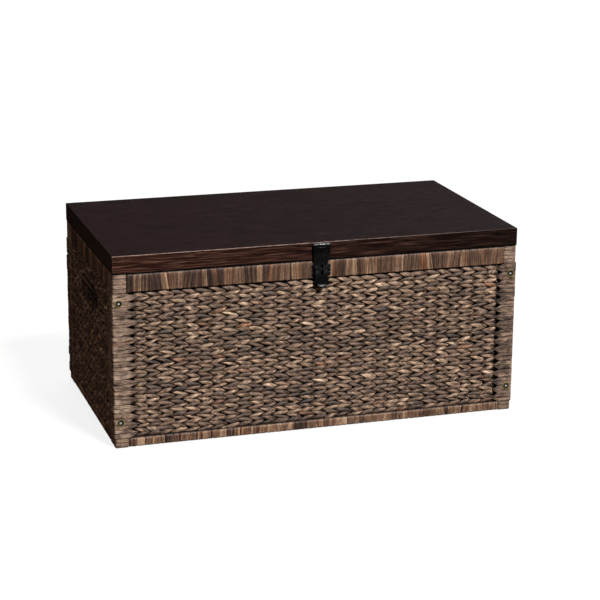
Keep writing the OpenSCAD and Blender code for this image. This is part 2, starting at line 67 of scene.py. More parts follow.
# Directions of u and of d in the row frame, for each panel
AXES = {
    "front": ((1, 0), (0, 1)),
    "back": ((-1, 0), (0, -1)),
    "left": ((0, -1), (1, 0)),
    "right": ((0, 1), (-1, 0)),
}


def link(name, data):
    """A new object in the scene."""
    obj = bpy.data.objects.new(name, data)
    bpy.context.scene.collection.objects.link(obj)
    return obj


# ---- Panels ----

# Where the first stake is, as a share of the pitch, and at the low and high end of u: how far
# the weave stops short of the post, and how far the points of the post's bands reach into it.
# Then the length over which strands thin out at their ends, and how steep the stitches are.
LONG_PLAN = (0.0, (15 * MM, 10 * MM), (24 * MM, 16 * MM), 10 * MM, 1.0)
SHORT_PLAN = (0.5, (4.5 * MM, 4.5 * MM), (10 * MM, 10 * MM), 3 * MM, 0.6)


class Panel:
    """Where one panel is, and the sizes that its weave and its wrappings are worked out from."""

    def __init__(self, side):
        self.side = side
        self.u_axis, self.d_axis = (np.array([*a, 0.0]) for a in AXES[side])
        rail_low, rail_high = (np.array(c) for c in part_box(f"{side}_top_rail"))
        weave_low, weave_high = (np.array(c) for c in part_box(f"{side}_weave"))
        d_low, d_high = sorted((rail_low @ self.d_axis, rail_high @ self.d_axis))
        self.origin = self.d_axis * d_low
        self.thickness = d_high - d_low
        self.half = abs((rail_high - rail_low) @ self.u_axis) / 2
        self.mid = ((weave_low + weave_high) / 2 - self.origin) @ self.d_axis
        self.z_low = weave_low[2]
        self.z_high = weave_high[2]
        self.z_top = rail_high[2]
        self.post_w = {}
        for name in POST_ENDS[side]:
            low, high = (np.array(c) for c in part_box(f"{side}_{name}_post"))
            self.post_w[name] = abs((high - low) @ self.u_axis)
        self.long = side in ("front", "back")
        plan = LONG_PLAN if self.long else SHORT_PLAN
        self.first, margins, self.teeth, self.taper, self.slope = plan
        self.weave_ends = (margins[0] - self.half, self.half - margins[1])

    def world(self, points):
        """Local (u, d, z) points, in the row frame."""
        u, d, z = points[..., 0:1], points[..., 1:2], points[..., 2:3]
        return self.origin + u * self.u_axis + d * self.d_axis + z * np.array([0, 0, 1.0])


# ---- Meshes ----


class Heap:
    """Gathers closed tubes into one mesh, with the values that its material reads."""

    def __init__(self):
        self.points, self.faces, self.fibre = [], [], []
        self.tone, self.warm, self.shade = [], [], []
        self.count = 0

    def add(self, points, faces, fibre, tone, warm, shade):
        n = len(points)
        self.points.append(points)
        self.faces.append(faces + self.count)
        self.fibre.append(fibre)
        self.tone.append(np.broadcast_to(tone, n))
        self.warm.append(np.broadcast_to(warm, n))
        self.shade.append(np.broadcast_to(shade, n))
        self.count += n

    def build(self, name, material):
        points = np.concatenate(self.points)
        faces = np.concatenate(self.faces)
        mesh = bpy.data.meshes.new(name)
        mesh.vertices.add(len(points))
        mesh.vertices.foreach_set("co", points.astype(np.float32).ravel())
        real = faces[:, 3] >= 0
        sizes = np.where(real, 4, 3)
        loops = faces.ravel()
        loops = loops[loops >= 0]
        mesh.loops.add(len(loops))
        mesh.loops.foreach_set("vertex_index", loops.astype(np.int32))
        mesh.polygons.add(len(faces))
        starts = np.concatenate([[0], np.cumsum(sizes)[:-1]])
        mesh.polygons.foreach_set("loop_start", starts.astype(np.int32))
        mesh.update(calc_edges=True)
        mesh.polygons.foreach_set("use_smooth", np.ones(len(faces), bool))
        values = {"tone": self.tone, "warm": self.warm, "shade": self.shade}
        for key, parts in values.items():
            layer = mesh.attributes.new(key, "FLOAT", "POINT")
            layer.data.foreach_set("value", np.concatenate(parts).astype(np.float32))
        layer = mesh.attributes.new("fibre", "FLOAT_VECTOR", "POINT")
        layer.data.foreach_set("vector", np.concatenate(self.fibre).astype(np.float32).ravel())
        mesh.materials.append(material)
        mesh.validate()
        return link(name, mesh)


def unit(vectors):
    return vectors / np.maximum(np.linalg.norm(vectors, axis=-1, keepdims=True), 1e-12)


def tube_faces(rings, sides):
    """Quads between rings, and a fan of triangles over each end. Triangles end in -1."""
    i, j = np.meshgrid(np.arange(rings - 1), np.arange(sides), indexing="ij")
    k = (j + 1) % sides
    quads = np.stack(
        [i * sides + j, i * sides + k, (i + 1) * sides + k, (i + 1) * sides + j], -1
    ).reshape(-1, 4)
    j = np.arange(sides)
    k = (j + 1) % sides
    none = np.full(sides, -1)
    first = np.stack([np.full(sides, rings * sides), k, j, none], -1)
    last_ring = (rings - 1) * sides
    last = np.stack([np.full(sides, rings * sides + 1), last_ring + j, last_ring + k, none], -1)
    return np.concatenate([quads, first, last])


def strand(
    heap, panel, centre, out, half_w, half_t, tone, warm, shade_of, sides=12, power=2.0, edge_shading=1.0
):
    """A closed strand along a local centre line: out is where its flat face looks, and half_w
    and half_t are its half width and half thickness. The section is a superellipse, and a
    painted shade darkens it towards its two edges, where the next strand presses against it;
    the last argument scales that painted shade."""
    n = len(centre)
    tangent = unit(np.gradient(centre, axis=0))
    side = unit(np.cross(tangent, out))
    out = unit(np.cross(side, tangent))
    angle = np.arange(sides) * 2 * np.pi / sides
    across = np.sign(np.cos(angle)) * np.abs(np.cos(angle)) ** (2 / power)
    height = np.sign(np.sin(angle)) * np.abs(np.sin(angle)) ** (2 / power)
    w = np.broadcast_to(half_w, n)[:, None] * across
    t = np.broadcast_to(half_t, n)[:, None] * height
    rings = centre[:, None] + side[:, None] * w[..., None] + out[:, None] * t[..., None]
    local = np.concatenate([rings.reshape(-1, 3), centre[:1], centre[-1:]])
    along = np.concatenate([[0], np.cumsum(np.linalg.norm(np.diff(centre, axis=0), axis=1))])
    along = along + RNG.uniform(0, 20)
    fibre = np.stack([np.repeat(along, sides), w.ravel(), t.ravel()], -1)
    fibre = np.concatenate([fibre, [[along[0], 0, 0], [along[-1], 0, 0]]])

    def spread(values):
        values = np.broadcast_to(values, n)
        return np.concatenate([np.repeat(values, sides), values[:1], values[-1:]])

    # Painted shade towards the two edges of the strand, scaled along it
    edge = np.interp(np.abs(across), [0.25, 0.75, 1.0], [0.0, 0.55, 0.85])
    edge = np.broadcast_to(edge_shading, n)[:, None] * edge
    shade = shade_of(local) * (1 - np.concatenate([edge.ravel(), [0.0, 0.0]]))
    heap.add(panel.world(local), tube_faces(n, sides), fibre, spread(tone), spread(warm), shade)


def soft_path(points, step, soften):
    """A polyline with its corners worn round, sampled evenly."""
    points = np.array(points, float)
    length = np.concatenate([[0], np.cumsum(np.linalg.norm(np.diff(points, axis=0), axis=1))])
    fine = np.linspace(0, length[-1], 160)
    line = np.stack([np.interp(fine, length, points[:, i]) for i in range(points.shape[1])], -1)
    gap = fine[1] - fine[0]
    reach = max(1, int(soften / gap))
    kernel = np.hanning(2 * reach + 3)[1:-1]
    kernel /= kernel.sum()
    padded = np.concatenate(
        [2 * line[0] - line[reach:0:-1], line, 2 * line[-1] - line[-2 : -reach - 2 : -1]]
    )
    line = np.stack([np.convolve(padded[:, i], kernel, "valid") for i in range(line.shape[1])], -1)
    run = np.concatenate([[0], np.cumsum(np.linalg.norm(np.diff(line, axis=0), axis=1))])
    n = max(4, int(run[-1] / step) + 1)
    at = np.linspace(0, run[-1], n)
    return np.stack([np.interp(at, run, line[:, i]) for i in range(line.shape[1])], -1)


def finish_piece(heap, name, material, slot, *nodes):
    piece = heap.build(name, material)
    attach(piece, "trunk")
    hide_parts(*nodes)
    return piece


# ---- Random but repeatable variation ----

RNG = np.random.default_rng(11)


def wander(scale_u, scale_z, size, seed):
    """A smooth wobble over a panel, as a sum of a few waves."""
    rng = np.random.default_rng(seed)
    waves = [
        (rng.uniform(0.5, 1.6) / scale_u, rng.uniform(-1.5, 1.5) / scale_z, rng.uniform(0, 6.28))
        for _ in range(5)
    ]

    def value(u, z):
        total = sum(np.sin(2 * np.pi * (a * u + b * z) + c) for a, b, c in waves)
        return size * total / 2.2

    return value


# ---- Twined weave ----

# Points of a strand between one stake and the next
STEPS = 12
# How far a strand swings out of the middle of the weave, and up and down
STRAND_OUT = 4.9 * MM
STRAND_RISE = 4.4 * MM
LINGER = 0.32
# Half width and half thickness of a strand where it crosses the other, and at a stake
HALF_W = (4.0 * MM, 6.1 * MM)
HALF_T = (1.8 * MM, 4.0 * MM)
# Half thickness of the flat dark strand that paints shade inside each row
SHADE_LINING_T = 0.9 * MM
# The hand slots: the strands round them are finer, and they interrupt these rows
RIM_SCALE = 0.7
SLOT_ROWS = (24, 29)
SLOT_SIZE = (186 * MM, 53 * MM)
SLOT_MIDDLE = 292 * MM
SLOT_CORNER = 17 * MM


def depth_shade(panel):
    """How far each point stands out of the middle of the weave: 0 in the middle, 1 outside."""
    reach = STRAND_OUT + HALF_T[1]

    def shade(local):
        return np.clip(np.abs(local[:, 1] - panel.mid) / reach, 0, 1)

    return shade


def stitch_values(count):
    """Lightness and warmth of each stitch of a strand: neighbours are alike, a few stand out."""
    drift = np.cumsum(RNG.normal(0, 0.1, count))
    drift -= np.linspace(drift[0], drift[-1], count)
    tone = 0.5 * drift + RNG.normal(0, 0.2, count) + RNG.normal(0, 0.1)
    warm = np.clip(RNG.normal(0.25, 0.16, count), 0, 1)
    odd = RNG.random(count) < 0.015
    warm[odd] = RNG.uniform(0.7, 1.0, odd.sum())
    return np.clip(tone, -1, 1), warm


def twist(panel, phi, rise_sign):
    """The place and section of a strand at the angles phi of its twist. It is in front of a
    stake where cos(phi) is 1, and swells there, and it lingers in front longer than behind.
    Returns the parts of its outward vector, depth, rise, half sizes, tone and warmth, with a
    small difference between one stitch and the next."""
    phi = phi - LINGER * np.sin(phi)
    front, side = np.cos(phi), np.sin(phi)
    turn = np.floor(phi / np.pi + 0.5).astype(int)
    turn -= turn.min()
    count = turn.max() + 1
    swell = np.abs(front)
    fat = 1 + swell * RNG.normal(0, 0.15, count)[turn]
    thick = 1 + swell * RNG.normal(0, 0.08, count)[turn]
    reach = STRAND_OUT + 0.35 * MM * RNG.normal(0, 1, count)[turn]
    depth = panel.mid - reach * (1.5 * front - 0.5 * front**3)
    straight = np.arcsin(0.94 * side) / math.asin(0.94)
    rise = 1 + swell * RNG.normal(0, 0.16, count)[turn]
    rise = rise_sign * panel.slope * STRAND_RISE * rise * (0.6 * side + 0.4 * straight)
    rise = rise + swell * RNG.normal(0, 0.5 * MM, count)[turn]
    half_w = (HALF_W[0] + (HALF_W[1] - HALF_W[0]) * swell**0.8) * fat
    half_t = (HALF_T[0] + (HALF_T[1] - HALF_T[0]) * swell**0.7) * thick
    tone, warm = stitch_values(count)
    return front, side, depth, rise, half_w, half_t, tone[turn], warm[turn]


def twined_strand(heap, panel, z_row, slant, phase, u_from, u_to, warp, lift, slip):
    """One of the two strands of a row: it passes in front of one stake and behind the next."""
    n = int((u_to - u_from) / PITCH * STEPS) + 2
    u = np.linspace(u_from, u_to, n)
    moved = u - warp(u, z_row) - np.interp(u, slip[0], slip[1])
    phi = np.pi * (moved / PITCH - panel.first) + phase
    front, side, d, rise, half_w, half_t, tone, warm = twist(panel, phi, slant)
    to_end = np.minimum(u - panel.weave_ends[0], panel.weave_ends[1] - u) + 1 * MM
    taper = np.clip(to_end / panel.taper, 0.01, 1) ** 0.6
    d = panel.mid + (d - panel.mid) * taper
    half_w = half_w * (0.3 + 0.7 * taper)
    half_t = half_t * (0.3 + 0.7 * taper)
    z = z_row + rise + lift(u, z_row)
    out = np.stack([0 * u, -front, slant * side], -1)
    centre = np.stack([u, d, z], -1)
    strand(
        heap, panel, centre, out, half_w, half_t, tone, warm, depth_shade(panel),
        edge_shading=front**2,
    )


def shade_lining(heap, panel, z_row, half_z, u_from, u_to, lift):
    """A flat dark strand inside a row, painted as shade between its stitches, which also keeps
    light from showing through there.
    """
    u = np.linspace(u_from, u_to, int((u_to - u_from) / PITCH * 2) + 2)
    centre = np.stack([u, 0 * u + panel.mid, z_row + lift(u, z_row)], -1)
    out = np.array([0.0, -1.0, 0.0])
    shade = depth_shade(panel)
    strand(heap, panel, centre, out, half_z, SHADE_LINING_T, -0.8, 0.2, shade, 8, 4.0, 0.0)


def slot_rim(heap, panel):
    """Two strands twined round the two rods of a hand slot and round its ends."""
    half_u, half_z = (s / 2 for s in SLOT_SIZE)
    ring = np.array(rounded_ring(-half_u, half_u, -half_z, half_z, SLOT_CORNER, 6))
    ring = np.concatenate([ring, ring[:1]])
    run = np.concatenate([[0], np.cumsum(np.linalg.norm(np.diff(ring, axis=0), axis=1))])
    turns = 2 * round(run[-1] / PITCH / 2)
    at = np.linspace(0, run[-1], turns * STEPS + 1)
    path = np.stack([np.interp(at, run, ring[:, i]) for i in (0, 1)], -1)
    tangent = unit(np.stack([np.interp(at, run, np.gradient(ring[:, i], run)) for i in (0, 1)], -1))
    outward = np.stack([tangent[:, 1], -tangent[:, 0]], -1)
    for phase in (0, np.pi):
        phi = np.pi * turns * at / run[-1] + phase
        front, side, d, rise, half_w, half_t, tone, warm = twist(panel, phi, RIM_SCALE)
        place = path + outward * rise[:, None]
        centre = np.stack([place[:, 0], d, SLOT_MIDDLE + place[:, 1]], -1)
        out = np.stack([outward[:, 0] * side, -front, outward[:, 1] * side], -1)
        strand(
            heap, panel, centre, out, half_w * RIM_SCALE, half_t * RIM_SCALE, tone, warm,
            depth_shade(panel), edge_shading=front**2,
        )


def row_spans(panel, row):
    """Stretches of a row along u: the hand slot interrupts some rows of the side panels."""
    low, high = panel.weave_ends
    if panel.long or not SLOT_ROWS[0] <= row <= SLOT_ROWS[1]:
        return [(low, high)]
    half_slot = SLOT_SIZE[0] / 2
    inner = half_slot - 8 * MM if row in SLOT_ROWS else half_slot + 2 * MM
    return [(low, -inner), (inner, high)]


def weave_panel(panel, material, pieces):
    """The rows of one panel, split into pieces of several rows each."""
    z_first = panel.z_low + 0.5 * MM
    pitch_z = (panel.z_high - 3.5 * MM - z_first) / ROW_COUNT
    knots = np.arange(-panel.half, panel.half + PITCH, 0.8 * PITCH)
    warp = wander(0.25, 0.5, 2.2 * MM, len(panel.side))
    lift = wander(0.12, 0.3, 0.7 * MM, 5 + len(panel.side))
    heaps = [Heap() for _ in range(pieces)]
    for row in range(ROW_COUNT):
        z_row = z_first + (row + 0.5) * pitch_z
        slip = (knots, RNG.normal(0, 2.1 * MM, len(knots)))
        slant = -1 if (ROW_COUNT - 1 - row) % 2 == 0 else 1
        heap = heaps[row * pieces // ROW_COUNT]
        for u_from, u_to in row_spans(panel, row):
            for phase in (0, np.pi):
                twined_strand(heap, panel, z_row, slant, phase, u_from, u_to, warp, lift, slip)
            shade_lining(heap, panel, z_row, 0.48 * pitch_z, u_from, u_to, lift)
    if not panel.long:
        slot_rim(heaps[-1], panel)
    for i, heap in enumerate(heaps):
        finish_piece(
            heap, f"{panel.side}_weave_rows_{i}", material, "weave", f"{panel.side}_weave"
        )


# ---- Wrapped posts ----


# Tone offsets of two posts: the front left one is paler and the front right one darker than the
# rest
POST_TONE = {("front", "left"): 0.2, ("front", "right"): -0.12}


def edge_shade(local):
    return np.ones(len(local))


# Depth of the middle of a band over a post, and of its point: where it leaves the weave, half
# way to the post, and on the inner face
WRAP_D = 1.0 * MM
POINT_D = (4.6 * MM, 1.6 * MM)
INNER_POINT_D = 15.6 * MM
# Half height and half thickness of the point of a band, and half its thickness on the post
POINT_H = 1.4 * MM
POINT_T = 1.8 * MM
BAND_T = 1.3 * MM
LOOP_T = 0.75 * MM
CORE_INSET = 1.2 * MM


def flat_band(heap, panel, path, z, half_h, half_t, tone, warm, shade, power=3.6, sides=14):
    """A flattened strand that follows a path in u and d at height z."""
    centre = np.stack([path[:, 0], path[:, 1], np.broadcast_to(z, len(path))], -1)
    tangent = np.gradient(path, axis=0)
    out = np.stack([tangent[:, 1], -tangent[:, 0], 0 * tangent[:, 0]], -1)
    strand(heap, panel, centre, out, half_h, half_t, tone, warm, shade, sides, power, 0.8)


def tooth_band(heap, panel, end, corners, z_mid, z_off, half_h, sign, jitter, post_tone):
    """A band that starts as a narrow strand in the weave and spreads flat over the post.
    corners are points of outward distance from the post's inner edge, and depth."""
    path = soft_path([(end * (panel.half + v), d) for v, d in corners], 2.0 * MM, 3.5 * MM)
    run = np.abs(path[:, 0] - path[0, 0])
    run = np.maximum.accumulate(run)
    spread = np.clip(run / -corners[0][0], 0, 1) ** 1.1
    n = len(path)
    knots = np.linspace(0, n, 9)
    wave = np.interp(np.arange(n), knots, RNG.normal(0, 0.7 * MM, 9))
    pinch = np.interp(np.arange(n), knots, RNG.normal(1, 0.1, 9))
    height = POINT_H + (half_h * pinch - POINT_H) * spread
    z = z_mid + z_off * (0.25 + 0.75 * spread) + (jitter + wave) * spread
    half_t = POINT_T + (BAND_T - POINT_T) * spread
    tone = post_tone + RNG.normal(0, 0.26)
    tone = tone + np.interp(np.arange(n), knots, RNG.normal(0, 0.3, 9))
    # Painted highlight along the post's outer corner: the bands are lighter there
    corner = np.abs(path[:, 0]) - panel.half
    tone = tone + 0.5 * np.exp(-(((corner.max() - corner) + path[:, 1]) / (5 * MM)) ** 2)
    warm = np.clip(RNG.normal(0.3, 0.15), 0, 1)
    tooth = panel.teeth[end > 0]
    if end * sign < 0:
        path, z, height, half_t = path[::-1], z[::-1], height[::-1], half_t[::-1]
        tone = tone[::-1]

    def shade(local):
        v = end * local[:, 0] - panel.half
        return np.clip(0.36 + 0.64 * (v + tooth) / (tooth + 2 * MM), 0, 1)

    flat_band(heap, panel, path, z, height, half_t, tone, warm, shade)


def outer_course(panel, width, tip, proud):
    """Corners of a band over the outer face of a post, and round its outer edge."""
    course = [(tip, POINT_D[0]), (tip / 2, POINT_D[1]), (0, WRAP_D)]
    if panel.long:
        course += [(width - 0.6 * MM, WRAP_D), (width + proud, 4 * MM)]
        course.append((width + proud, panel.thickness - 0.5 * MM))
    else:
        course.append((width - WRAP_D, WRAP_D))
    return course


def inner_course(panel, width, tip):
    """Corners of a band over the inner face of a post."""
    inner_d = panel.thickness - WRAP_D
    reach = 7 * MM if panel.long else width - WRAP_D
    return [(tip, INNER_POINT_D), (tip / 2, inner_d - 2 * MM), (0, inner_d), (reach, inner_d)]


def post_piece(panel, name, end, material):
    """A post with its wrapping: two strands of every row pair go round it as flat bands whose
    points reach into the weave, and plain turns cover it beside the top and bottom rails."""
    heap = Heap()
    width = panel.post_w[name]
    thick = panel.thickness
    pair = 2 * (panel.z_high - panel.z_low) / ROW_COUNT
    inset = CORE_INSET
    core = [
        (end * (panel.half + v), d)
        for v, d in rounded_ring(inset, width - inset, inset, thick - inset, 3 * MM, 3)
    ]
    bar(heap, panel, core, 0.4 * MM, panel.z_top - 0.4 * MM)
    post_tone = POST_TONE.get((panel.side, name), 0.0)
    for i in range(ROW_COUNT // 2):
        z_mid = panel.z_low + (i + 0.5) * pair + RNG.normal(0, 0.4 * MM)
        proud = min(0.3 + abs(RNG.normal(0, 0.9)), 2.2) * MM
        share = np.clip(RNG.normal(0.5, 0.13), 0.28, 0.72)
        for part, z_off in ((share, (share - 1) * pair / 2), (1 - share, share * pair / 2)):
            half_h = part * pair / 2 + 0.35 * MM
            jitter = RNG.normal(0, 0.4 * MM)
            tip = -panel.teeth[end > 0] * RNG.uniform(0.75, 1.1)
            outside = outer_course(panel, width, tip, proud)
            inside = inner_course(panel, width, tip)
            for course, sign in ((outside, 1), (inside, -1)):
                tooth_band(
                    heap, panel, end, course, z_mid, z_off, half_h, sign, jitter, post_tone
                )
    ring = rounded_ring(WRAP_D, width - WRAP_D, WRAP_D, thick - WRAP_D, 4 * MM, 4)
    # The plain turns start on the inner face and overlap there
    ring = ring[10:] + ring[:12]
    loop = np.array([(end * (panel.half + v), d) for v, d in ring])
    if end < 0:
        loop = loop[::-1]
    for z0, z1, turns in ((0.3 * MM, panel.z_low, 2), (panel.z_high, panel.z_top, 4)):
        cuts = np.linspace(z0, z1, turns + 1)
        cuts[1:-1] += RNG.uniform(-1.6, 1.6, turns - 1) * MM
        for low, high in zip(cuts, cuts[1:]):
            tone = RNG.normal(0.3 if z0 > panel.z_low else 0.05, 0.12)
            warm = np.clip(RNG.normal(0.3, 0.12), 0, 1)
            half_h = (high - low) / 2 + 0.1 * MM
            flat_band(
                heap, panel, loop, (low + high) / 2, half_h, LOOP_T, tone, warm, edge_shade
            )
    node = f"{panel.side}_{name}_post"
    finish_piece(heap, f"{node}_wrapped", material, "wrapped_frame", node)


def rounded_ring(a0, a1, b0, b1, radius, arc):
    """Points round a rectangle with round corners, anticlockwise from its low a and low b side."""
    ring = []
    centres = [
        (a1 - radius, b0 + radius, -90), (a1 - radius, b1 - radius, 0),
        (a0 + radius, b1 - radius, 90), (a0 + radius, b0 + radius, 180),
    ]
    for a, b, start in centres:
        for i in range(arc + 1):
            angle = math.radians(start + 90 * i / arc)
            ring.append((a + radius * math.cos(angle), b + radius * math.sin(angle)))
    return ring


def bar(heap, panel, ring, z0, z1):
    """A plain upright bar with the given section."""
    ring = np.array(ring)
    sides = len(ring)
    local = np.concatenate(
        [
            np.column_stack([ring, np.full(sides, z0)]),
            np.column_stack([ring, np.full(sides, z1)]),
            [[*ring.mean(0), z0], [*ring.mean(0), z1]],
        ]
    )
    fibre = local[:, [2, 0, 1]]
    # The core gets a dark tone and a fixed painted shade of one half, for where it shows between
    # the bands
    heap.add(panel.world(local), tube_faces(2, sides), fibre, -0.6, 0.2, 0.5)


# ---- Wrapped rails ----


# Widths of the strips round a rail, and the share of narrow ones
NARROW_STRIP = (2.6 * MM, 5.0 * MM)
WIDE_STRIP = (7 * MM, 19 * MM)
NARROW_SHARE = 0.35
RAIL_CORNER = 3.8 * MM
# The profile of a strip across its width: share of the width, and height over the rail
STRIP_SHARES = (0.0, 0.1, 0.32, 0.68, 0.9)
STRIP_BULGE = (-0.3 * MM, 0.0, 0.3 * MM, 0.3 * MM, 0.0)


def strip_edges(low, high):
    """Where the strips of a wrapping meet, along a rail."""
    edges = [low]
    while edges[-1] < high:
        narrow = RNG.random() < NARROW_SHARE
        edges.append(edges[-1] + RNG.uniform(*(NARROW_STRIP if narrow else WIDE_STRIP)))
    edges = np.array(edges)
    return low + (edges - low) * (high - low) / (edges[-1] - low)


def rail_piece(panel, which, z0, z1, paleness, material):
    """A rail wrapped closely with upright strips: one closed skin, grooved between strips.
    paleness is how pale its strips are at its low and high end of u."""
    edges = strip_edges(-panel.half, panel.half)
    count = len(edges) - 1
    ring = np.array(rounded_ring(0, panel.thickness, z0, z1, RAIL_CORNER, 4))
    long_gap = np.linalg.norm(ring - np.roll(ring, -1, 0), axis=1) > 6 * MM
    points = []
    for i in range(len(ring)):
        points.append(ring[i])
        if long_gap[i]:
            after = ring[(i + 1) % len(ring)]
            points.extend(ring[i] + (after - ring[i]) * f for f in (0.2, 0.4, 0.6, 0.8))
    ring = np.array(points)
    centre = ring.mean(0)
    tangent = unit(np.roll(ring, -1, 0) - np.roll(ring, 1, 0))
    normal = np.stack([tangent[:, 1], -tangent[:, 0]], -1)
    sides = len(ring)
    drift = wander(0.09, 1.0, 0.25, 41 + len(which) + len(panel.side))
    narrow = np.diff(edges) < NARROW_STRIP[1] + 0.5 * MM
    tone = drift(edges[:-1], 0) + RNG.normal(0, 0.33, count)
    tone = tone + narrow * RNG.normal(0.2, 0.45, count) + np.linspace(*paleness, count)
    warm = np.clip(RNG.normal(0.34, 0.2, count) + 0.3 * narrow, 0, 1)
    thick = 1 + RNG.normal(0, 0.35, count)
    deep = RNG.random(count) < 0.35
    offset = RNG.uniform(0, 9, count)
    lean = wander(0.11, 0.5, 0.1, 31 + len(which) + len(panel.side))
    up = ring[:, 1] - z0 - (z1 - z0) / 2
    # Painted highlight along the rounded corners of the outer face, which also stands for wear
    # there
    to_corner = (z1 - z0) / 2 - np.abs(up) + ring[:, 0]
    painted_highlight = np.exp(-((to_corner / (3.2 * MM)) ** 2))
    # Painted shadow near the top and bottom edges, where the rail meets the lid and the weave, and
    # a light painted shade over the flat top
    to_edge = (z1 - z0) / 2 - np.abs(up)
    edge_shadow = np.interp(to_edge, np.array([0, 1.1, 2.3, 3.8]) * MM, [0.02, 0.2, 0.75, 1.0])
    flat_top = np.abs(ring[:, 0] - panel.thickness / 2) < panel.thickness / 2 - 4 * MM
    edge_shadow[flat_top] = 0.85
    rows, tones, warms, shades, fibres = [], [], [], [], []
    for i in range(count + 1):
        for j, (share, lift) in enumerate(zip(STRIP_SHARES, STRIP_BULGE)):
            if i == count and j:
                break
            k = min(i, count - 1)
            wide = edges[k + 1] - edges[k]
            u = edges[i] + share * wide
            high = lift * (thick[k] if j else 1 + 2.4 * deep[k])
            place = ring + normal * high
            shift = lean(u, 0) * up * np.clip((panel.half - abs(u)) / (30 * MM), 0, 1)
            rows.append(np.column_stack([u + shift, place]))
            tones.append(tone[k] + painted_highlight)
            warms.append(np.full(sides, warm[k]))
            # Painted shade in the grooves between strips, darker in the deep ones
            groove = 0.3 if deep[k] else 0.7
            shades.append(edge_shadow * (groove if j == 0 else (0.9 if j in (1, 4) else 1.0)))
            round_it = np.arange(sides) * 4 * MM
            fibres.append(
                np.column_stack([round_it + offset[k], np.full(sides, u - edges[k]), 0 * round_it])
            )
    n = len(rows)
    ends = [[rows[0][0, 0], *centre], [rows[-1][0, 0], *centre]]
    local = np.concatenate([*rows, ends])
    heap = Heap()
    heap.add(
        panel.world(local),
        tube_faces(n, sides),
        np.concatenate([*fibres, [[0, 0, 0], [0, 0, 0]]]),
        np.concatenate([*tones, [0, 0]]),
        np.concatenate([*warms, [0, 0]]),
        np.concatenate([*shades, [0, 0]]),
    )
    node = f"{panel.side}_{which}_rail"
    finish_piece(heap, f"{node}_wrapped", material, "wrapped_frame", node)


# ---- Bolt heads ----

FERRULE_R = 8.5 * MM


def dome_profile(angle):
    """Radius and height of a socket head's domed face, from its rim to its hexagonal socket."""
    socket = 2.9 * MM / math.cos((angle + math.pi / 6) % (math.pi / 3) - math.pi / 6)
    return [
        (7.1 * MM, -0.6 * MM), (7.0 * MM, 0.35 * MM), (6.3 * MM, 0.85 * MM), (5.2 * MM, 1.25 * MM),
        (4.0 * MM, 1.4 * MM), (socket, 1.35 * MM), (socket, 0.4 * MM), (0.0, 0.4 * MM),
    ]


def bolt_heads(material):
    """The domed faces of the corner bolts, seated in their ferrules."""
    low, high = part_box("bolt_ferrules")
    steps = 36
    verts, faces = [], []
    for face in (-1, 1):
        y_face = (low.y if face < 0 else high.y) - face * 1 * MM
        for x in (low.x + FERRULE_R, high.x - FERRULE_R):
            for z in (low.z + FERRULE_R, high.z - FERRULE_R):
                base = len(verts)
                for i in range(steps):
                    angle = 2 * math.pi * i / steps
                    for radius, lift in dome_profile(angle):
                        across, up = radius * math.cos(angle), radius * math.sin(angle)
                        verts.append((x - face * across, y_face + face * lift, z + up))
                rings = len(dome_profile(0))
                for i in range(steps):
                    a, b = base + i * rings, base + (i + 1) % steps * rings
                    for k in range(rings - 1):
                        faces.append((a + k, b + k, b + k + 1, a + k + 1))
    mesh = bpy.data.meshes.new("bolt_heads")
    mesh.from_pydata(verts, [], faces)
    # A painted glint: the floor of each socket is marked, and the iron material paints it pale
    # steel
    painted_glint = mesh.attributes.new("painted_glint", "FLOAT", "POINT")
    in_socket = np.arange(len(verts)) % rings >= rings - 2
    painted_glint.data.foreach_set("value", in_socket.astype(np.float32))
    piece = link("bolt_heads", mesh)
    work = bmesh.new()
    work.from_mesh(mesh)
    bmesh.ops.remove_doubles(work, verts=work.verts, dist=1e-6)
    bmesh.ops.dissolve_degenerate(work, dist=1e-7, edges=work.edges)
    bmesh.ops.recalc_face_normals(work, faces=work.faces)
    work.to_mesh(mesh)
    work.free()
    mesh.materials.append(material)
    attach(piece, "trunk")


# ---- Hasp strap ----

STRAP_W = 39 * MM
STRAP_T = 1.8 * MM
# Its waist, over which it widens upwards, and the lobes below it
WAIST_HALF = 12.6 * MM
WAIST_Z = 392 * MM
WIDENING = 19 * MM
LOBES = 3
LOBE = 13.3 * MM
LOBE_OUT = 3.8 * MM
TIP_HALF = 2 * MM
TIP_SHORT = 5 * MM
# How far its middle is raised, and how far below the pin that starts
RAISED = 0.7 * MM
RAISED_BELOW = 12 * MM
KNUCKLE_R = 4.05 * MM
KNUCKLE_W = 14 * MM
KNUCKLE_ROOM = (0.3 * MM, 5.2 * MM)
KEYHOLE_R = 3 * MM
KEYHOLE_Z = (372 * MM, 389 * MM)
ROWS = 150
COLUMNS = 14
# Distance of the back of the strap from the case, against height
STRAP_COURSE = [
    (336, 9.4), (342, 8.2), (347, 5.6), (350, 5.35), (365, 6.75), (371, 6.75), (392, 3.0),
    (419, 3.0), (433, 6.55), (439, 6.75),
]


def strap_half_width(z, tip_z):
    """Half the width of the strap at a height: a plain upper part, a waist, three lobes on
    each side and a rounded tip."""
    if z > WAIST_Z:
        t = min((z - WAIST_Z) / WIDENING, 1)
        ease = (0.5 - 0.5 * math.cos(math.pi * t)) ** 0.7
        return WAIST_HALF + (STRAP_W / 2 - WAIST_HALF) * ease
    low = WAIST_Z - LOBES * LOBE
    if z > low:
        return WAIST_HALF + LOBE_OUT * math.sin(math.pi * ((WAIST_Z - z) / LOBE % 1)) ** 0.7
    to_tip = (low - z) / (low - tip_z)
    return max(TIP_HALF, WAIST_HALF * math.sqrt(max(0, 1 - to_tip**2)))


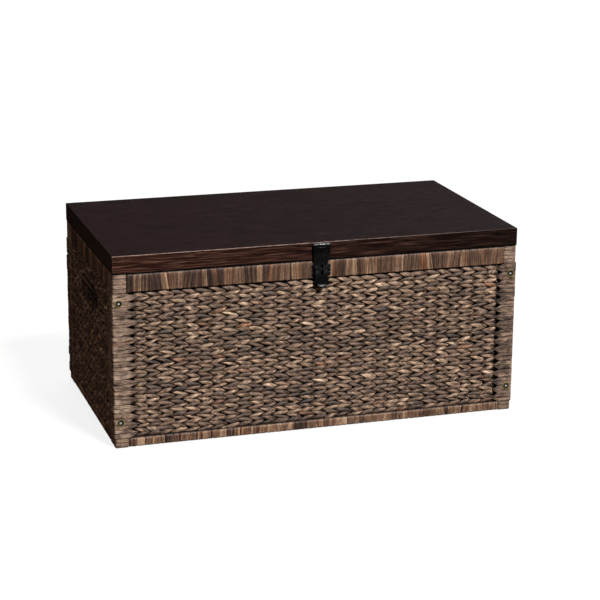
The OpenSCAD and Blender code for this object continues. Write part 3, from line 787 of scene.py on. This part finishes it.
def strap_opening(z, top_z):
    """Half the width of what is cut out of the middle of the strap at a height: the keyhole
    for the staple, and room for the middle knuckle at the top."""
    low, high = KEYHOLE_Z
    if z > top_z - KNUCKLE_ROOM[1]:
        return KNUCKLE_W / 2 + KNUCKLE_ROOM[0]
    if z < low:
        return math.sqrt(max(0, KEYHOLE_R**2 - (low - z) ** 2))
    wide = KEYHOLE_R + 1 * MM
    upper = math.sqrt(max(0, wide**2 - (z - high) ** 2))
    return max(upper, KEYHOLE_R if z < high else 0)


def knuckle(work, x0, x1, y, z):
    """A ring round the pin, with softened rims."""
    inner, soft = KNUCKLE_R / 2, 0.35 * MM
    profile = [
        (x0, inner), (x0, KNUCKLE_R - soft), (x0 + soft, KNUCKLE_R), (x1 - soft, KNUCKLE_R),
        (x1, KNUCKLE_R - soft), (x1, inner),
    ]
    steps = 28
    rings = []
    for i in range(steps):
        angle = 2 * math.pi * i / steps
        across, up = math.cos(angle), math.sin(angle)
        rings.append([work.verts.new((x, y + r * across, z + r * up)) for x, r in profile])
    for i in range(steps):
        here, there = rings[i], rings[(i + 1) % steps]
        for k in range(len(profile)):
            nxt = (k + 1) % len(profile)
            work.faces.new((here[k], there[k], there[nxt], here[nxt]))


def hasp_piece(work, name, material):
    """A smooth iron piece of the hasp, made from the gathered geometry."""
    mesh = bpy.data.meshes.new(name)
    work.to_mesh(mesh)
    work.free()
    mesh.polygons.foreach_set("use_smooth", np.ones(len(mesh.polygons), bool))
    mesh.materials.append(material)
    piece = link(name, mesh)
    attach(piece, "hasp")
    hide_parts("hasp_strap")
    return piece


def strap_sheet(axis_top, tip_z):
    """The back of the strap as one sheet of faces, built as its left and its right half."""
    case_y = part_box("front_top_rail")[0].y
    heights = np.linspace(tip_z, axis_top, ROWS)
    course_z, course_out = (np.array(c) * MM for c in zip(*STRAP_COURSE))
    outs = np.interp(heights, course_z, course_out)
    outs = np.convolve(np.pad(outs, 4, "edge"), np.ones(9) / 9, "valid")
    work = bmesh.new()
    for side in (-1, 1):
        rows = []
        for z, out in zip(heights, outs):
            half = strap_half_width(z, tip_z)
            opening = strap_opening(z, axis_top)
            raised = RAISED * np.clip((axis_top - RAISED_BELOW - z) / (6 * MM), 0, 1)
            row = []
            for i in range(COLUMNS + 1):
                x = opening + (half - opening) * i / COLUMNS
                share = x / half
                groove = math.exp(-(((share - 0.72) / 0.07) ** 2))
                crown = raised * (1 - share**4) - 0.5 * raised * groove
                row.append(work.verts.new((side * x, case_y - out - crown, z)))
            rows.append(row)
        for low, high in zip(rows, rows[1:]):
            for i in range(COLUMNS):
                corners = (low[i], low[i + 1], high[i + 1], high[i])
                work.faces.new(corners if side > 0 else corners[::-1])
    bmesh.ops.remove_doubles(work, verts=work.verts, dist=1e-6)
    return work


def hasp_strap(material):
    """The strap of the hasp: a pressed plate with a raised middle, cut like lace at its sides,
    with two knuckles at the top."""
    hinge = next(j for j in frame["record"]["behaviour"]["joints"] if j["name"] == "hasp_hinge")
    _, axis_y, top_z = hinge["pos_m"]
    work = strap_sheet(top_z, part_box("hasp_strap")[0].z + TIP_SHORT)
    sheet = hasp_piece(work, "hasp_strap_pressed", material)
    thick = sheet.modifiers.new("thickness", "SOLIDIFY")
    thick.thickness = STRAP_T
    thick.offset = 1.0
    soft = sheet.modifiers.new("soft_rims", "BEVEL")
    soft.width = 0.4 * MM
    soft.segments = 2
    soft.limit_method = "ANGLE"
    soft.angle_limit = math.radians(50)
    work = bmesh.new()
    for side in (-1, 1):
        x0, x1 = KNUCKLE_W / 2 + 0.2 * MM, STRAP_W / 2
        knuckle(work, *sorted((side * x0, side * x1)), axis_y, top_z)
    hasp_piece(work, "hasp_strap_knuckles", material)


# ---- Materials ----


class Nodes:
    """Short calls for building a node material."""

    def __init__(self, name):
        self.material = bpy.data.materials.new(name)
        self.material.use_nodes = True
        self.tree = self.material.node_tree
        self.shader = self.tree.nodes["Principled BSDF"]

    def make(self, kind, inputs=None, **settings):
        node = self.tree.nodes.new(kind)
        for key, value in settings.items():
            setattr(node, key, value)
        for key, value in (inputs or {}).items():
            self.feed(node.inputs[key], value)
        return node

    def feed(self, socket, value):
        if isinstance(value, bpy.types.NodeSocket):
            self.tree.links.new(value, socket)
        else:
            socket.default_value = value

    def attribute(self, name, output="Fac"):
        return self.make("ShaderNodeAttribute", attribute_name=name).outputs[output]

    def math(self, operation, a, b=0.0, clamp=False):
        node = self.make("ShaderNodeMath", {0: a, 1: b}, operation=operation, use_clamp=clamp)
        return node.outputs[0]

    def map_range(self, value, low, high, to_low=0.0, to_high=1.0):
        inputs = {0: value, 1: low, 2: high, 3: to_low, 4: to_high}
        return self.make("ShaderNodeMapRange", inputs).outputs[0]

    def mix(self, factor, a, b, blend="MIX"):
        node = self.make("ShaderNodeMix", data_type="RGBA", blend_type=blend)
        self.feed(node.inputs[0], factor)
        self.feed(node.inputs[6], a)
        self.feed(node.inputs[7], b)
        return node.outputs[2]

    def ramp(self, factor, stops):
        node = self.make("ShaderNodeValToRGB", {0: factor})
        ramp = node.color_ramp
        while len(ramp.elements) < len(stops):
            ramp.elements.new(0.5)
        for element, (place, colour) in zip(ramp.elements, stops):
            element.position = place
            element.color = colour
        return node.outputs[0]

    def scaled(self, vector, scale):
        node = self.make("ShaderNodeMapping", {"Vector": vector, "Scale": scale})
        return node.outputs[0]

    def noise(self, vector, scale, detail=4.0, roughness=0.55, distortion=0.0):
        inputs = {
            "Vector": vector, "Scale": scale, "Detail": detail,
            "Roughness": roughness, "Distortion": distortion,
        }
        return self.make("ShaderNodeTexNoise", inputs).outputs[0]

    def bump(self, height, strength, distance, normal=None):
        inputs = {"Height": height, "Strength": strength, "Distance": distance}
        if normal is not None:
            inputs["Normal"] = normal
        return self.make("ShaderNodeBump", inputs).outputs[0]

    def turned(self, place, along):
        """The place with the named axis first."""
        parts = self.make("ShaderNodeSeparateXYZ", {0: place}).outputs
        order = {"x": (0, 1, 2), "y": (1, 0, 2), "z": (2, 0, 1)}[along]
        inputs = {i: parts[k] for i, k in enumerate(order)}
        return self.make("ShaderNodeCombineXYZ", inputs).outputs[0]

    def grain_axis(self, coords):
        """The place with the direction first in which an edge veneer runs round the lid."""
        normal = self.make("ShaderNodeSeparateXYZ", {0: coords["Normal"]}).outputs
        parts = self.make("ShaderNodeSeparateXYZ", {0: coords["Object"]}).outputs
        faces_x = self.math("GREATER_THAN", self.math("ABSOLUTE", normal[0]), 0.7)
        run = self.make("ShaderNodeMix", {0: faces_x, 2: parts[0], 3: parts[1]}).outputs[0]
        return self.make("ShaderNodeCombineXYZ", {0: run, 1: parts[2], 2: 0.0}).outputs[0]

    def finish(self, **inputs):
        for key, value in inputs.items():
            self.feed(self.shader.inputs[key.replace("_", " ")], value)
        return self.material


def rgb(r, g, b):
    """A colour given as the eye sees it, on a scale of 255, in Blender's linear values."""
    return (*[(v / 255) ** 2.2 for v in (r, g, b)], 1.0)


def hyacinth(name, stops, along=55.0, wrinkle=0.35, contrast=1.15, deepest_shade=0.04, fine=380):
    """Dried, stained water hyacinth: streaks along each strand, light and dark strands, and
    painted shade in the gaps, where the shade value is low."""
    m = Nodes(name)
    fibre = m.attribute("fibre", "Vector")
    tone, warm, shade = (m.attribute(key) for key in ("tone", "warm", "shade"))
    streaks = m.noise(m.scaled(fibre, (along, fine, fine)), 1.0, 5.0, 0.66)
    blotch = m.noise(m.scaled(fibre, (38, 90, 90)), 1.0, 2.0, 0.5)
    wrinkles = m.noise(m.scaled(fibre, (190, 330, 330)), 1.0, 3.0, 0.6, 0.4)
    level = m.math("ADD", 0.5, m.math("MULTIPLY", tone, 0.42))
    level = m.math("ADD", level, m.math("MULTIPLY", m.math("SUBTRACT", streaks, 0.5), contrast))
    level = m.math("ADD", level, m.math("MULTIPLY", m.math("SUBTRACT", blotch, 0.5), 0.55))
    level = m.math("ADD", level, m.math("MULTIPLY", m.math("SUBTRACT", wrinkles, 0.5), wrinkle))
    colour = m.ramp(level, stops)
    orange = m.math("MULTIPLY", m.map_range(warm, 0.45, 1.0, 0.0, 1.0), 0.75)
    colour = m.mix(orange, colour, m.mix(1.0, colour, rgb(235, 178, 128), "MULTIPLY"))
    # Painted shade: the colour darkens where the shade value is low, down to the darkest level
    # given
    gap = m.ramp(shade, [(0.05, (deepest_shade,) * 3 + (1,)), (0.3, (0.2, 0.18, 0.165, 1)),
                         (0.6, (0.62, 0.6, 0.59, 1)), (0.92, (1, 1, 1, 1))])
    colour = m.mix(1.0, colour, gap, "MULTIPLY")
    relief = m.math("ADD", m.math("MULTIPLY", streaks, 0.8), m.math("MULTIPLY", wrinkles, wrinkle))
    normal = m.bump(relief, 0.7, 0.0014)
    rough = m.map_range(streaks, 0.3, 0.7, 0.5, 0.72)
    return m.finish(Base_Color=colour, Normal=normal, Roughness=rough)


WEAVE_STOPS = [
    (0.0, rgb(32, 23, 17)), (0.3, rgb(70, 53, 41)), (0.52, rgb(111, 86, 68)),
    (0.75, rgb(162, 131, 105)), (1.0, rgb(216, 187, 158)),
]
POST_STOPS = [
    (0.0, rgb(52, 40, 33)), (0.28, rgb(92, 73, 60)), (0.52, rgb(128, 104, 87)),
    (0.75, rgb(156, 130, 110)), (1.0, rgb(186, 160, 138)),
]
RAIL_STOPS = [
    (0.0, rgb(30, 21, 17)), (0.28, rgb(62, 44, 34)), (0.52, rgb(96, 71, 55)),
    (0.75, rgb(128, 99, 77)), (1.0, rgb(170, 140, 112)),
]


def grained_wood(name, dark, light, streak, share, rough, along, grain=(20.0, 430.0), wear_and_highlight=None):
    """Stained wood with fine grain lines along one axis, or along each face of a veneered edge,
    which has a painted reflection that makes it darker towards one end, and painted shade along
    its foot. The last argument is the box whose long edges get a painted highlight, and its colour."""
    m = Nodes(name)
    coords = m.make("ShaderNodeTexCoord").outputs
    place = coords["Object"]
    along_it = m.grain_axis(coords) if along == "face" else m.turned(place, along)
    lines = m.noise(m.scaled(along_it, (grain[0], grain[1], grain[1])), 1.0, 6.0, 0.62, 0.3)
    figure = m.noise(m.scaled(along_it, (2.5, 60, 60)), 1.0, 3.0, 0.5, 0.8)
    colour = m.mix(m.map_range(figure, 0.3, 0.7), dark, light)
    colour = m.mix(m.map_range(lines, 0.5, 0.68, 0.0, share), colour, streak)
    pores = m.map_range(lines, 0.47, 0.38, 0.0, 0.85)
    colour = m.mix(pores, colour, m.mix(1.0, dark, (0.35, 0.35, 0.35, 1), "MULTIPLY"))
    if along == "face":
        run = m.make("ShaderNodeSeparateXYZ", {0: along_it}).outputs
        # Painted reflection: lighter at the low end of the run, darker towards its high end
        reflection_falloff = m.mix(m.map_range(run[0], -0.4, 0.35), (1, 1, 1, 1), (0.25, 0.24, 0.24, 1))
        colour = m.mix(1.0, colour, reflection_falloff, "MULTIPLY")
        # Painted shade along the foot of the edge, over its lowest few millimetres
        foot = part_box("lid_front_edge")[0].z
        foot_shade = m.map_range(run[1], foot + 0.8 * MM, foot + 4.8 * MM, 1.0, 0.0)
        colour = m.mix(foot_shade, colour, rgb(8, 5, 4))
    if wear_and_highlight is not None:
        # Painted highlight along the long edges, fading towards the high end of x and broken into
        # patches
        (_, high), highlight = wear_and_highlight
        run, across, _ = m.make("ShaderNodeSeparateXYZ", {0: place}).outputs
        gap = m.math("SUBTRACT", high[1], m.math("ABSOLUTE", across))
        highlight = m.mix(m.map_range(run, -0.1, 0.42), highlight, rgb(70, 55, 50))
        mask = m.map_range(gap, 0.9 * MM, 0.1 * MM)
        patchy = m.map_range(m.noise(place, 60.0, 3.0), 0.3, 0.6, 0.25, 1.0)
        colour = m.mix(m.math("MULTIPLY", mask, patchy), colour, highlight)
    normal = m.bump(lines, 0.3, 0.0005)
    roughness = m.map_range(lines, 0.35, 0.7, rough, rough + 0.16)
    return m.finish(
        Base_Color=colour, Normal=normal, Roughness=roughness, Specular_IOR_Level=0.2
    )


def black_iron(name, painted_highlight):
    """Black iron, finely pitted, with a painted highlight on its upward faces, as strong as the
    second argument says, and a painted glint where a mesh marks one.
    """
    m = Nodes(name)
    coords = m.make("ShaderNodeTexCoord").outputs
    painted_glint = m.attribute("painted_glint")
    dents = m.noise(coords["Object"], 190.0, 3.0, 0.5)
    grit = m.noise(coords["Object"], 1300.0, 3.0, 0.6)
    # Painted highlight on upward faces, towards bare steel grey
    up = m.make("ShaderNodeSeparateXYZ", {0: coords["Normal"]}).outputs[2]
    highlight = m.math("MULTIPLY", m.map_range(up, 0.2, 0.75), m.map_range(dents, 0.35, 0.62, 0.3, 1.0))
    highlight = m.math("MULTIPLY", highlight, painted_highlight)
    colour = m.mix(m.map_range(dents, 0.4, 0.75), rgb(19, 19, 20), rgb(38, 38, 40))
    colour = m.mix(highlight, colour, rgb(128, 130, 134))
    # Painted glint where the mesh marks it
    colour = m.mix(painted_glint, colour, rgb(215, 218, 222))
    relief = m.math("ADD", dents, m.math("MULTIPLY", grit, 0.12))
    rough = m.map_range(grit, 0.3, 0.7, 0.3, 0.46)
    normal = m.bump(relief, 0.35, 0.001)
    return m.finish(Base_Color=colour, Metallic=0.55, Roughness=rough, Normal=normal)


def metal(name, base, wear_and_highlight, rough, scale=700.0):
    m = Nodes(name)
    place = m.make("ShaderNodeTexCoord").outputs["Object"]
    grain = m.noise(place, scale, 3.0, 0.6)
    colour = m.mix(m.map_range(grain, 0.4, 0.7), base, wear_and_highlight)
    roughness = m.map_range(grain, 0.3, 0.7, rough, rough + 0.15)
    normal = m.bump(grain, 0.15, 0.0004)
    return m.finish(Base_Color=colour, Metallic=0.6, Roughness=roughness, Normal=normal)


def felt(name):
    m = Nodes(name)
    place = m.make("ShaderNodeTexCoord").outputs["Object"]
    fuzz = m.noise(place, 2500.0, 4.0, 0.7)
    colour = m.mix(fuzz, rgb(48, 46, 43), rgb(84, 80, 76))
    normal = m.bump(fuzz, 0.6, 0.0006)
    return m.finish(Base_Color=colour, Normal=normal, Roughness=0.95)


def paint_cad_nodes(iron):
    """Each CAD node that stays visible gets the material of what it is made of."""
    # Iron with a strong painted highlight on its upward faces, for the hasp and the hinges
    highlit_iron = black_iron("highlit_iron", 0.6)
    steel = metal("zinc_plate", rgb(168, 170, 174), rgb(205, 206, 208), 0.3)
    brass = metal("brass", rgb(132, 114, 62), rgb(176, 156, 92), 0.34)
    lid_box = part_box("lid_veneer")
    # The veneer's long edges get a painted highlight, pale pinkish grey
    top = grained_wood(
        "espresso_veneer", rgb(22, 12, 13), rgb(28, 16, 17), rgb(38, 25, 24), 0.6, 0.42, "x",
        (22.0, 330.0), (lid_box, rgb(165, 140, 128)),
    )
    # The edge veneer gets a painted reflection that fades along it and painted shade at its foot
    edge = grained_wood(
        "stained_edge", rgb(37, 20, 15), rgb(52, 30, 23), rgb(122, 88, 73), 0.85, 0.38, "face",
        (11.0, 400.0),
    )
    plain = grained_wood(
        "plain_wood", rgb(176, 142, 102), rgb(206, 174, 132), rgb(190, 156, 116), 0.5, 0.55, "x",
        (14.0, 260.0),
    )
    reed = grained_wood(
        "rattan", rgb(62, 45, 32), rgb(96, 72, 50), rgb(42, 30, 22), 0.5, 0.5, "z",
    )
    pads = felt("felt")
    by_slot = {
        "iron": iron, "steel": steel, "brass": brass, "lid_veneer": top, "lid_edge": edge,
        "plain_wood": plain, "reed": reed, "felt": pads,
    }
    for part in frame["record"]["subparts"]:
        node = NODES[part["node"]]
        material = by_slot.get(part["material_slot"])
        if part["node"].startswith(("hasp_leaf", "hinge")):
            material = highlit_iron
        if material is not None:
            node.data.materials.clear()
            node.data.materials.append(material)
    hasp_strap(highlit_iron)


# ---- Stage ----

CAMERA_AZ = -17.77
CAMERA_EL = 16.22
CAMERA_ROLL = 0.51
CAMERA_DISTANCE = 4.56
CAMERA_LENS = 113.4
CAMERA_TARGET = Vector((0.0357, 0.0, 0.2319))


def make_camera():
    az, el = math.radians(CAMERA_AZ), math.radians(CAMERA_EL)
    back = Vector((math.sin(az) * math.cos(el), -math.cos(az) * math.cos(el), math.sin(el)))
    data = bpy.data.cameras.new("camera")
    data.lens = CAMERA_LENS
    data.sensor_width = 36.0
    data.clip_end = 50.0
    camera = link("camera", data)
    camera.location = CAMERA_TARGET + back * CAMERA_DISTANCE
    turn = (-back).to_track_quat("-Z", "Y").to_matrix()
    camera.rotation_euler = (turn @ Matrix.Rotation(math.radians(CAMERA_ROLL), 3, "Z")).to_euler()
    bpy.context.scene.camera = camera


def sun(name, azimuth, elevation, spread, strength, colour=(1, 1, 1)):
    """A far, large lamp. azimuth is its bearing from the front, positive to the right."""
    data = bpy.data.lights.new(name, "SUN")
    data.angle = math.radians(spread)
    data.energy = strength
    data.color = colour
    az, el = math.radians(azimuth), math.radians(elevation)
    aim = Vector((-math.sin(az) * math.cos(el), math.cos(az) * math.cos(el), -math.sin(el)))
    light = link(name, data)
    light.rotation_euler = aim.to_track_quat("-Z", "Y").to_euler()
    return light


def make_world():
    """A pale room for the camera, which lights the trunk only a little."""
    world = bpy.data.worlds.new("world")
    bpy.context.scene.world = world
    world.use_nodes = True
    tree = world.node_tree
    dim = tree.nodes["Background"]
    dim.inputs["Color"].default_value = (1.0, 0.76, 0.66, 1)
    dim.inputs["Strength"].default_value = 0.025
    pale = tree.nodes.new("ShaderNodeBackground")
    pale.inputs["Color"].default_value = (1, 1, 1, 1)
    pale.inputs["Strength"].default_value = 1.0
    rays = tree.nodes.new("ShaderNodeLightPath")
    mix = tree.nodes.new("ShaderNodeMixShader")
    tree.links.new(rays.outputs["Is Camera Ray"], mix.inputs[0])
    tree.links.new(dim.outputs[0], mix.inputs[1])
    tree.links.new(pale.outputs[0], mix.inputs[2])
    tree.links.new(mix.outputs[0], tree.nodes["World Output"].inputs["Surface"])


def make_stage():
    make_world()
    mesh = bpy.data.meshes.new("floor")
    reach = 30.0
    corners = [(-reach, -reach, 0), (reach, -reach, 0), (reach, reach, 0), (-reach, reach, 0)]
    mesh.from_pydata(corners, [], [(0, 1, 2, 3)])
    floor = link("floor", mesh)
    m = Nodes("floor_paper")
    paper = m.finish(
        Base_Color=(0.11, 0.11, 0.11, 1), Roughness=0.9, Specular_IOR_Level=0.0,
        Emission_Color=(1, 1, 1, 1), Emission_Strength=0.84,
    )
    mesh.materials.append(paper)
    floor.visible_diffuse = False
    floor.visible_glossy = False
    sun("key", 20, 47, 11, 5.4)
    sun("rim", 125, 48, 50, 0.8)
    sun("left_fill", -72, 60, 6, 0.66, (1.0, 0.82, 0.7))
    behind = sun("behind", 168, 38, 30, 2.2)
    behind.visible_glossy = False
    bpy.context.scene.view_settings.view_transform = "Standard"


# ---- Build ----

make_camera()
make_stage()
# Iron with a faint painted highlight on its upward faces
iron_material = black_iron("black_iron", 0.12)
paint_cad_nodes(iron_material)
bolt_heads(iron_material)
weave_material = hyacinth("hyacinth_weave", WEAVE_STOPS, 55.0, 0.85, 1.65)
post_material = hyacinth("hyacinth_posts", POST_STOPS, 45.0, 1.2, 1.9, fine=300)
rail_material = hyacinth("hyacinth_rails", RAIL_STOPS, 18.0, 0.6, 1.8, fine=330)
for side in SIDES:
    panel = Panel(side)
    weave_panel(panel, weave_material, 4 if side in ("front", "back") else 2)
    for post_name, post_end in POST_ENDS[side].items():
        post_piece(panel, post_name, post_end, post_material)
    rail_piece(panel, "top", panel.z_high, panel.z_top, (-0.3, 0.05), rail_material)
    rail_piece(panel, "bottom", 0.8 * MM, panel.z_low, (0.1, 0.1), rail_material)
